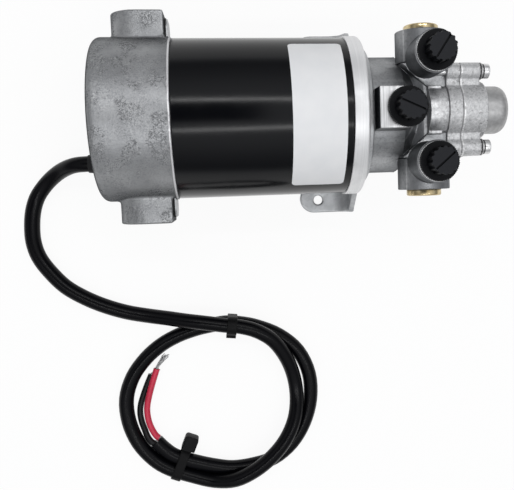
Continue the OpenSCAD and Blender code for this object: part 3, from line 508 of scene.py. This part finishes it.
# Motor can
# A rolled steel tube under a thick coat of gloss black paint, with slightly rounded ends.
# The through bolts clamp it between the rear housing and the front end cap.
can = dressed("motor_can", "painted_can", edge=0.0005)
gloss_black = Finish("gloss black paint", (0.0022, 0.0025, 0.0036), 0.11, Specular_IOR_Level=0.21)
gloss_black.roughness(gloss_black.noise(0.012), low=0.13, high=0.21)
gloss_black.bump(gloss_black.noise(0.005, detail=2, stretch=(3, 1, 1)), depth=0.00001)
gloss_black.on(can)
stands_for(can, "motor_can")

# Label
# A blank white sticker with rounded corners next to the can's front end. It is laid out flat,
# cut in fine strips across, rolled onto the can and given the thickness of its paper.
label_low, label_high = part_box("label")
label_start = math.radians(34)
label_end = math.radians(151)
label_corner = 0.0022
label_inner = 0.03812
label_paper = 0.00015
label_strips = 90
motor_axis_z = 0.0394
label_length = label_high.x - label_low.x
label_width = (label_end - label_start) * label_inner

bpy.ops.object.select_all(action="DESELECT")
bpy.ops.mesh.primitive_plane_add(size=1, location=(label_length / 2, label_width / 2, 0))
label = bpy.context.active_object
label.name = "blank_label"
label.scale = (label_length, label_width, 1)
bpy.ops.object.transform_apply(location=True, rotation=True, scale=True)
bpy.ops.object.mode_set(mode="EDIT")
bpy.ops.mesh.select_all(action="SELECT")
bpy.ops.mesh.bevel(offset=label_corner, segments=6, affect="VERTICES")
for strip in range(1, label_strips):
    bpy.ops.mesh.select_all(action="SELECT")
    bpy.ops.mesh.bisect(plane_co=(0, label_width * strip / label_strips, 0), plane_no=(0, 1, 0),
                        threshold=0)
bpy.ops.object.mode_set(mode="OBJECT")
for point in label.data.vertices:
    turn = label_start + point.co.y / label_inner
    point.co = (label_low.x + point.co.x, label_inner * math.cos(turn),
                motor_axis_z + label_inner * math.sin(turn))
bpy.ops.object.mode_set(mode="EDIT")
bpy.ops.mesh.select_all(action="SELECT")
bpy.ops.mesh.normals_make_consistent(inside=False)
bpy.ops.object.mode_set(mode="OBJECT")
modify(label, "paper", "SOLIDIFY", thickness=label_paper, offset=1)
bpy.ops.object.shade_smooth_by_angle(angle=math.radians(30))

sticker = Finish("white sticker", (0.76, 0.77, 0.785), 0.45, Specular_IOR_Level=0.3)
sticker.colour(sticker.ramp(sticker.noise(0.009, detail=2), (0.3, (0.85, 0.86, 0.87)),
                            (0.7, (0.89, 0.895, 0.90))))
sticker.bump(sticker.noise(0.0012, detail=2), depth=0.00001)
sticker.on(label)
stands_for(label, "label")

# Front end cap
# A turned aluminium ring that closes the can and carries the front bearing.
# Fine tool marks run round it, and it has dulled in patches.
end_ring = dressed("front_end_cap", "turned_end_cap", edge=0.0002)
turned = Finish("turned aluminium", (0.74, 0.745, 0.75), 0.42, metallic=0.55)
tool_marks = turned.noise(0.00025, detail=2, stretch=(1, 200, 200))
turned_metal = turned.ramp(tool_marks, (0.3, (0.74, 0.745, 0.75)), (0.7, (0.88, 0.88, 0.885)))
turned.colour(turned.mix(turned_metal, (0.60, 0.605, 0.61),
                         turned.rise(turned.noise(0.009), 0.55, 0.8, top=0.7)))
turned.roughness(turned.noise(0.004), low=0.38, high=0.50)
turned.bump(tool_marks, depth=0.00001)
turned.on(end_ring)
stands_for(end_ring, "front_end_cap")

# Mounting bracket
# One zinc-plated steel pressing: a disc between the end cap and the valve body, with two legs
# that bend under the motor into drilled feet.
bracket = cast("mounting_bracket", "zinc_bracket", grain=0.0005, rounds=1)
zinc = Finish("zinc-plated sheet", (0.42, 0.43, 0.435), 0.45, metallic=0.85)
zinc_cloud = zinc.ramp(zinc.noise(0.006), (0.3, (0.42, 0.43, 0.44)), (0.7, (0.58, 0.59, 0.60)))
zinc.colour(zinc.mix(zinc_cloud, (0.34, 0.345, 0.35),
                     zinc.rise(zinc.noise(0.0016, detail=5), 0.52, 0.72, top=0.55)))
zinc.roughness(zinc.noise(0.005), low=0.40, high=0.54)
zinc.bump(zinc.noise(0.002), depth=0.00003)
zinc.on(bracket)
stands_for(bracket, "mounting_bracket")

# Brush pocket lids
# A black rubber gasket and a thin zinc-plated lid close the open front of each brush pocket.
# They are the CAD nodes themselves, in the finishes of the grommet and the bracket.
rubber.on("pocket_gaskets")
zinc.on("pocket_covers")

# Through bolts and body screws
# Two long bolts hold the bell, the can and the end cap together, and four screws behind the
# bracket hold the valve body. All are of dark oiled steel.
dark_steel = Finish("dark oiled steel", (0.085, 0.088, 0.092), 0.38, metallic=0.9)
dark_steel.colour(dark_steel.ramp(dark_steel.noise(0.0015), (0.3, 0.12), (0.7, 0.22)))
dark_steel.roughness(dark_steel.noise(0.001), low=0.30, high=0.46)
dark_steel.on("through_bolts", "body_screws")

# Inside of the motor
# A slotted sheet armature with copper windings turns on a ground shaft between two ball bearings,
# inside two ferrite shells, and two carbon brushes press on its commutator.
ground_steel = Finish("ground steel", (0.56, 0.57, 0.58), 0.24, metallic=1.0)
grinding = ground_steel.noise(0.0004, detail=2, stretch=(1, 30, 30))
ground_steel.colour(ground_steel.ramp(grinding, (0.3, 0.48), (0.7, 0.62)))
ground_steel.roughness(ground_steel.noise(0.003), low=0.18, high=0.30)
ground_steel.on("motor_shaft", "rear_bearing", "front_bearing", "drive_coupling", "pump_shaft",
                "driven_shaft", "drive_gear", "driven_gear", "check_poppet_left",
                "check_poppet_right", "shuttle_piston", "brush_springs")

sheet_stack = Finish("stacked sheet", (0.13, 0.135, 0.14), 0.5, metallic=0.8)
sheet_edges = sheet_stack.noise(0.0005, detail=1, stretch=(1, 300, 300))
sheet_stack.colour(sheet_stack.ramp(sheet_edges, (0.4, 0.08), (0.6, 0.19)))
sheet_stack.on("armature_core")

copper = Finish("enamelled copper", (0.42, 0.13, 0.05), 0.32, metallic=0.8)
copper_wires = copper.noise(0.0012, detail=2, stretch=(1, 1, 4))
copper.colour(copper.ramp(copper_wires, (0.35, (0.26, 0.07, 0.025)), (0.65, (0.55, 0.19, 0.075))))
copper.bump(copper_wires, depth=0.0001)
copper.on("armature_windings", "commutator")

ferrite = Finish("sintered ferrite", (0.045, 0.046, 0.05), 0.62)
ferrite.colour(ferrite.ramp(ferrite.noise(0.0015, detail=5), (0.3, 0.032), (0.7, 0.062)))
ferrite.on("field_magnets", "carbon_brush_left", "carbon_brush_right")

# Valve body
# A cast aluminium block with three ports on top and a cross bore under them. The port faces and
# the middle port's pad are milled in one cut, and the rest stays as cast. The deck and the neck by
# the bracket take a lighter copy of the cast colour as painted light, the boss walls and the rest a
# darker copy as painted shade, and the pad's wall facing the motor is painted black as shade.
body_low, body_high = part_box("valve_body")
bore_low, bore_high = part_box("shuttle_piston")
bore_middle = (bore_low + bore_high) / 2
bore_reach = (bore_high.x - bore_low.x) / 2 + 0.0006
tube_root = 0.0226
tube_reach = 0.0126
root_band = 0.0002


def on_cross_bore(place):
    """True for the edges in the cross bore and round the root of its tube, which stay sharp."""
    away = math.hypot(place.x - bore_middle.x, place.z - bore_middle.z)
    at_root = abs(abs(place.y) - tube_root) < root_band
    return away < bore_reach or (at_root and away < tube_reach)


valve_block = dressed("valve_body", "cast_valve_body", edge=0.0004, leave=on_cross_bore)
deck_top = body_low.z + 0.0536
arch_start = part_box("lock_plugs")[0].x + 0.0087
arch_half = 0.0135
neck_length = 0.0200
bracket_top = 0.0725
mill_depth = 0.0004
above_deck = 0.0003
boss_shade_dark = (0.165, 0.170, 0.178)
boss_shade_light = (0.275, 0.281, 0.29)
neck_lit_dark = (0.38, 0.388, 0.396)
neck_lit_light = (0.54, 0.546, 0.555)
speckle_grey = (0.18, 0.184, 0.19)
arch_dark = (0.46, 0.46, 0.465)
arch_light = (0.74, 0.745, 0.75)
milled_dark = (0.44, 0.445, 0.45)
milled_light = (0.66, 0.66, 0.665)
pad_wall_shade_black = (0.05, 0.052, 0.058)

block_skin = Finish("cast block aluminium", (0.38, 0.385, 0.39), 0.40, metallic=1.0,
                    Specular_Tint=(0.25, 0.255, 0.26, 1))
# Painted light and shade: the deck top and the neck next to the bracket get the lit copy, all else
# the shaded copy.
lit_deck = block_skin.within("Z", deck_top - mill_depth, deck_top + above_deck)
lit_neck = block_skin.ramp(block_skin.share_along("X", body_low.x, neck_length),
                          (0.55, 0.8), (1.0, 0.0))
block_tone = block_skin.noise(0.010)
boss_shaded_cast = block_skin.ramp(block_tone, (0.3, boss_shade_dark), (0.7, boss_shade_light))
deck_neck_lit_cast = block_skin.ramp(block_tone, (0.3, neck_lit_dark), (0.7, neck_lit_light))
block_cast = block_skin.mix(boss_shaded_cast, deck_neck_lit_cast, block_skin.either(lit_deck, lit_neck))
block_speckle = block_skin.rise(block_skin.noise(0.0012, detail=8, twist=1.0), 0.46, 0.72, top=0.6)
block_cast = block_skin.mix(block_cast, speckle_grey, block_speckle)
on_arch = block_skin.both(block_skin.beyond("X", arch_start),
                          block_skin.within("Y", -arch_half, arch_half))
on_arch = block_skin.both(on_arch, block_skin.beyond("Z", deck_top + above_deck))
block_arch = block_skin.ramp(block_skin.noise(0.0016, detail=6, twist=1.0),
                             (0.35, arch_dark), (0.65, arch_light))
block_colour = block_skin.mix(block_cast, block_arch, on_arch)
milled_lines = block_skin.noise(0.0007, detail=3, stretch=(1, 40, 40))
block_milled = block_skin.ramp(milled_lines, (0.35, milled_dark), (0.65, milled_light))
block_colour = block_skin.mix(block_colour, block_milled,
                              block_skin.beyond("Z", body_high.z - mill_depth))
# Painted shade: the pad's wall that faces the motor, above the bracket's top, is near black.
pad_wall_shade = block_skin.both(block_skin.within("X", body_low.x - 0.001, body_low.x + 0.0002),
                              block_skin.beyond("Z", bracket_top))
block_skin.colour(block_skin.mix(block_colour, pad_wall_shade_black, pad_wall_shade))
block_skin.roughness(block_skin.noise(0.003), low=0.34, high=0.52)
block_skin.bump(block_skin.noise(0.0014, detail=5), depth=0.00006)
block_skin.on(valve_block)
stands_for(valve_block, "valve_body")

# Gear pump castings
# A bearing plate and a gear housing, sand-cast with a coarser and lighter skin, are bolted
# together on the end of the block. A bright bead of cast flash runs along their joint.
plate_casting = cast("bearing_plate", "cast_bearing_plate", grain=0.0004, rounds=1)
housing_casting = cast("gear_housing", "cast_gear_housing", grain=0.0004, rounds=1)
joint_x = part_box("gear_housing")[0].x
bead_start = 0.0003
bead_end = 0.0011
sand_skin = Finish("sand-cast aluminium", (0.55, 0.56, 0.56), 0.5, metallic=0.8)
sand_grain = sand_skin.ramp(sand_skin.noise(0.0012, detail=5, twist=1.0),
                            (0.36, (0.48, 0.485, 0.49)), (0.66, (0.70, 0.70, 0.705)))
sand_pits = sand_skin.rise(sand_skin.noise(0.0017, detail=7), 0.58, 0.70, top=0.7)
sand_cast = sand_skin.mix(sand_grain, (0.22, 0.22, 0.22), sand_pits)
flash_runs = sand_skin.rise(sand_skin.noise(0.0035, detail=3), 0.46, 0.52, top=0.9)
flash_bead = sand_skin.both(
    sand_skin.within("X", joint_x + bead_start, joint_x + bead_end), flash_runs)
sand_skin.colour(sand_skin.mix(sand_cast, (0.90, 0.90, 0.90), flash_bead))
sand_skin.roughness(sand_skin.noise(0.002), low=0.44, high=0.62)
sand_skin.bump(sand_skin.noise(0.0011, detail=6), depth=0.00016)
sand_skin.on(plate_casting, housing_casting)
stands_for(plate_casting, "bearing_plate")
stands_for(housing_casting, "gear_housing")

# Pump end dome
# A domed aluminium cap with a satin skin is pressed into the gear housing's outer face.
# It closes the bore behind the driven shaft.
dome = dressed("end_dome", "end_cap_dome", edge=0.0002)
dome_skin = Finish("satin dome aluminium", (0.42, 0.42, 0.425), 0.38, metallic=0.85)
dome_skin.colour(dome_skin.ramp(dome_skin.noise(0.0016, detail=5), (0.3, 0.36), (0.7, 0.48)))
dome_skin.roughness(dome_skin.noise(0.003), low=0.40, high=0.52)
dome_skin.on(dome)
stands_for(dome, "end_dome")

# Seals and gear bushes
# Rubber rings seal the two castings, the pump shaft and both lock plugs.
# The gear shafts turn in bushes of sintered bronze, pressed into the castings.
rubber.on("gear_seal", "shaft_seal", "lock_plug_seals")
bronze = Finish("sintered bronze", (0.36, 0.23, 0.09), 0.45, metallic=0.9)
bronze.colour(bronze.ramp(bronze.noise(0.0006, detail=5), (0.3, (0.24, 0.15, 0.055)),
                          (0.7, (0.44, 0.29, 0.12))))
bronze.on("gear_bushes")

# Check springs
# A coil of spring wire behind each check poppet closes it against the cross bore's seat.
# It shortens between the poppet and its lock plug as the poppet lifts.
for hand in ("left", "right"):
    node = f"check_spring_{hand}"
    coil = dressed(node, f"coil_spring_{hand}", edge=0)
    ground_steel.on(coil)
    stands_for(coil, node)
    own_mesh(coil)

# Pump screws
# Four long plated cap screws clamp the gear pump to the block. A spring washer lies under each
# head: the middle of its rim shows steel, and its two faces are painted near black as shade.
screws = dressed("pump_screws", "cap_screws", edge=0.0002)
plated = Finish("bright plated screw", (0.72, 0.73, 0.74), 0.36, metallic=0.9)
plated.roughness(plated.noise(0.001), low=0.30, high=0.42)
plated.colour(plated.ramp(plated.noise(0.0012), (0.3, 0.62), (0.7, 0.82)))
plated.on(screws)
stands_for(screws, "pump_screws")

washer_low, washer_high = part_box("spring_washers")
washer_shade_band = 0.0005
washer_skin = Finish("spring steel washer", (0.40, 0.41, 0.42), 0.40, metallic=0.9)
washer_steel = washer_skin.ramp(washer_skin.noise(0.0012), (0.3, 0.32), (0.7, 0.50))
washer_unshaded_middle = washer_skin.within("X", washer_low.x + washer_shade_band, washer_high.x - washer_shade_band)
# Painted shade: the washer's two faces, where it meets the head and the casting, are near black.
washer_skin.colour(washer_skin.mix((0.03, 0.03, 0.032), washer_steel, washer_unshaded_middle))
washer_skin.roughness(washer_skin.noise(0.001), low=0.32, high=0.48)
washer_skin.on("spring_washers")

# Lock plugs
# Turned brass plugs with a hexagon socket are screwed into both ends of the cross bore.
# The brush holders inside the motor are of the same brass.
brass_plugs = dressed("lock_plugs", "brass_lock_plugs", edge=0.0002)
brass = Finish("turned brass", (0.66, 0.44, 0.15), 0.20, metallic=1.0)
brass.colour(brass.ramp(brass.noise(0.0025), (0.3, (0.44, 0.34, 0.17)), (0.7, (0.68, 0.57, 0.36))))
brass.roughness(brass.noise(0.0015), low=0.16, high=0.30)
brass.on(brass_plugs, "brush_holders")
stands_for(brass_plugs, "lock_plugs")

# Port plugs
# Black moulded transit plugs with a knurled flange, a fluted hub and a screwdriver slot are
# pushed into the three ports. The top of the hub is painted a little paler than the rest as sheen.
plug_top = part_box("port_plug_left")[1].z
sheen_depth = 0.0003
plug_plastic = Finish("moulded plug plastic", (0.006, 0.0065, 0.008), 0.45,
                      Specular_IOR_Level=0.11)
# Painted sheen: the top face of each hub is a paler black than the rest of the plug.
plug_plastic.colour(plug_plastic.mix((0.0045, 0.005, 0.0062), (0.018, 0.019, 0.022),
                                     plug_plastic.beyond("Z", plug_top - sheen_depth)))
plug_plastic.roughness(plug_plastic.noise(0.002), low=0.36, high=0.52)
plug_plastic.bump(plug_plastic.noise(0.0009), depth=0.00003)
plug_plastic.on("port_plug_left", "port_plug_right", "port_plug_middle")

# Bench
# The pump lies on a plain white sheet that takes its shadow. The lens and the bright metal
# see the sheet whiter than the lamps alone would make it.
sheet_size = 60
sheet_z = -0.0002
sheet_white = 1.08
white_share = 0.85
bpy.ops.object.select_all(action="DESELECT")
bpy.ops.mesh.primitive_plane_add(size=sheet_size, location=(0, 0, sheet_z))
bench_sheet = bpy.context.active_object
bench_sheet.name = "white_sheet"
white_sheet = Finish("white sheet", (0.55, 0.55, 0.55), 0.9)
glow = white_sheet.nodes.new("ShaderNodeEmission")
glow.inputs["Strength"].default_value = sheet_white
ray = white_sheet.nodes.new("ShaderNodeLightPath")
seen = white_sheet.either(ray.outputs["Is Camera Ray"], ray.outputs["Is Glossy Ray"])
seen = white_sheet.either(seen, ray.outputs["Is Transmission Ray"])
blend = white_sheet.nodes.new("ShaderNodeMixShader")
white_sheet.links.new(white_sheet.calculate("MULTIPLY", seen, white_share), blend.inputs["Fac"])
white_sheet.links.new(white_sheet.shader.outputs["BSDF"], blend.inputs[1])
white_sheet.links.new(glow.outputs["Emission"], blend.inputs[2])
surface = white_sheet.nodes["Material Output"].inputs["Surface"]
white_sheet.links.new(blend.outputs["Shader"], surface)
white_sheet.on(bench_sheet)

# Studio
# The studio's walls are pale at the bench, dim above it and pale again overhead. A black hood
# round the lens is what the can mirrors as its dark band.
wall_stops = (
    (0.0, 0.85), (0.05, 0.62), (0.13, 0.26), (0.24, 0.22), (0.50, 0.42), (0.80, 0.80), (1.0, 0.86),
)
wall_tint = (1.0, 1.01, 1.035)
hood_black = (0.03, 0.03, 0.03, 1)
hood_far = (0.27, 0.33)
hood_near = (-0.11, -0.17)
hood_side = (0.02, 0.08)
hood_height = (0.90, 0.60)
room_strength = 1.08

room = bpy.data.worlds.new("studio")
bpy.context.scene.world = room
room.use_nodes = True
room_nodes = room.node_tree.nodes
room_links = room.node_tree.links
room_light = room_nodes["Background"]
direction = room_nodes.new("ShaderNodeTexCoord").outputs["Generated"]
parts = room_nodes.new("ShaderNodeSeparateXYZ")
room_links.new(direction, parts.inputs["Vector"])
walls = room_nodes.new("ShaderNodeValToRGB")
while len(walls.color_ramp.elements) < len(wall_stops):
    walls.color_ramp.elements.new(0.5)
for element, (height, level) in zip(walls.color_ramp.elements, wall_stops):
    element.position = height
    element.color = (*[level * tint for tint in wall_tint], 1)
room_links.new(parts.outputs["Z"], walls.inputs["Fac"])


def fade(axis, start, end):
    """0 before the start along an axis and 1 past the end, with a soft step between them."""
    step = room_nodes.new("ShaderNodeMapRange")
    step.interpolation_type = "SMOOTHSTEP"
    step.inputs["From Min"].default_value = start
    step.inputs["From Max"].default_value = end
    room_links.new(parts.outputs[axis], step.inputs["Value"])
    return step.outputs["Result"]


open_sky = fade("Y", *hood_far)
for axis, limits in (("Y", hood_near), ("X", hood_side), ("Z", hood_height)):
    larger = room_nodes.new("ShaderNodeMath")
    larger.operation = "MAXIMUM"
    room_links.new(open_sky, larger.inputs[0])
    room_links.new(fade(axis, *limits), larger.inputs[1])
    open_sky = larger.outputs["Value"]
lens_hood = room_nodes.new("ShaderNodeMix")
lens_hood.data_type = "RGBA"
hood_ends = [socket for socket in lens_hood.inputs if socket.type == "RGBA"]
hood_ends[0].default_value = hood_black
room_links.new(walls.outputs["Color"], hood_ends[1])
room_links.new(open_sky, lens_hood.inputs["Factor"])
room_colour = [socket for socket in lens_hood.outputs if socket.type == "RGBA"][0]
room_links.new(room_colour, room_light.inputs["Color"])
room_light.inputs["Strength"].default_value = room_strength

# Strip lamps
# A long narrow lamp hangs on each side of the lens, in line with the motor.
# The two draw the bright lines along the can.
lamp_x = 0.02
lamp_height = 0.93
lamp_length = 0.9
lamp_width = 0.05
lamp_power = 1.5
lamp_aim = Vector((0.0, 0.0, 0.04))
for name, lamp_y in (("strip_near", -0.30), ("strip_far", 0.34)):
    lamp_place = Vector((lamp_x, lamp_y, lamp_height))
    bpy.ops.object.light_add(type="AREA", location=lamp_place)
    lamp = bpy.context.active_object
    lamp.name = name
    lamp.data.shape = "RECTANGLE"
    lamp.data.size = lamp_length
    lamp.data.size_y = lamp_width
    lamp.data.energy = lamp_power
    lamp.rotation_euler = (lamp_aim - lamp_place).to_track_quat("-Z", "Y").to_euler()

bpy.context.scene.view_settings.view_transform = "Standard"
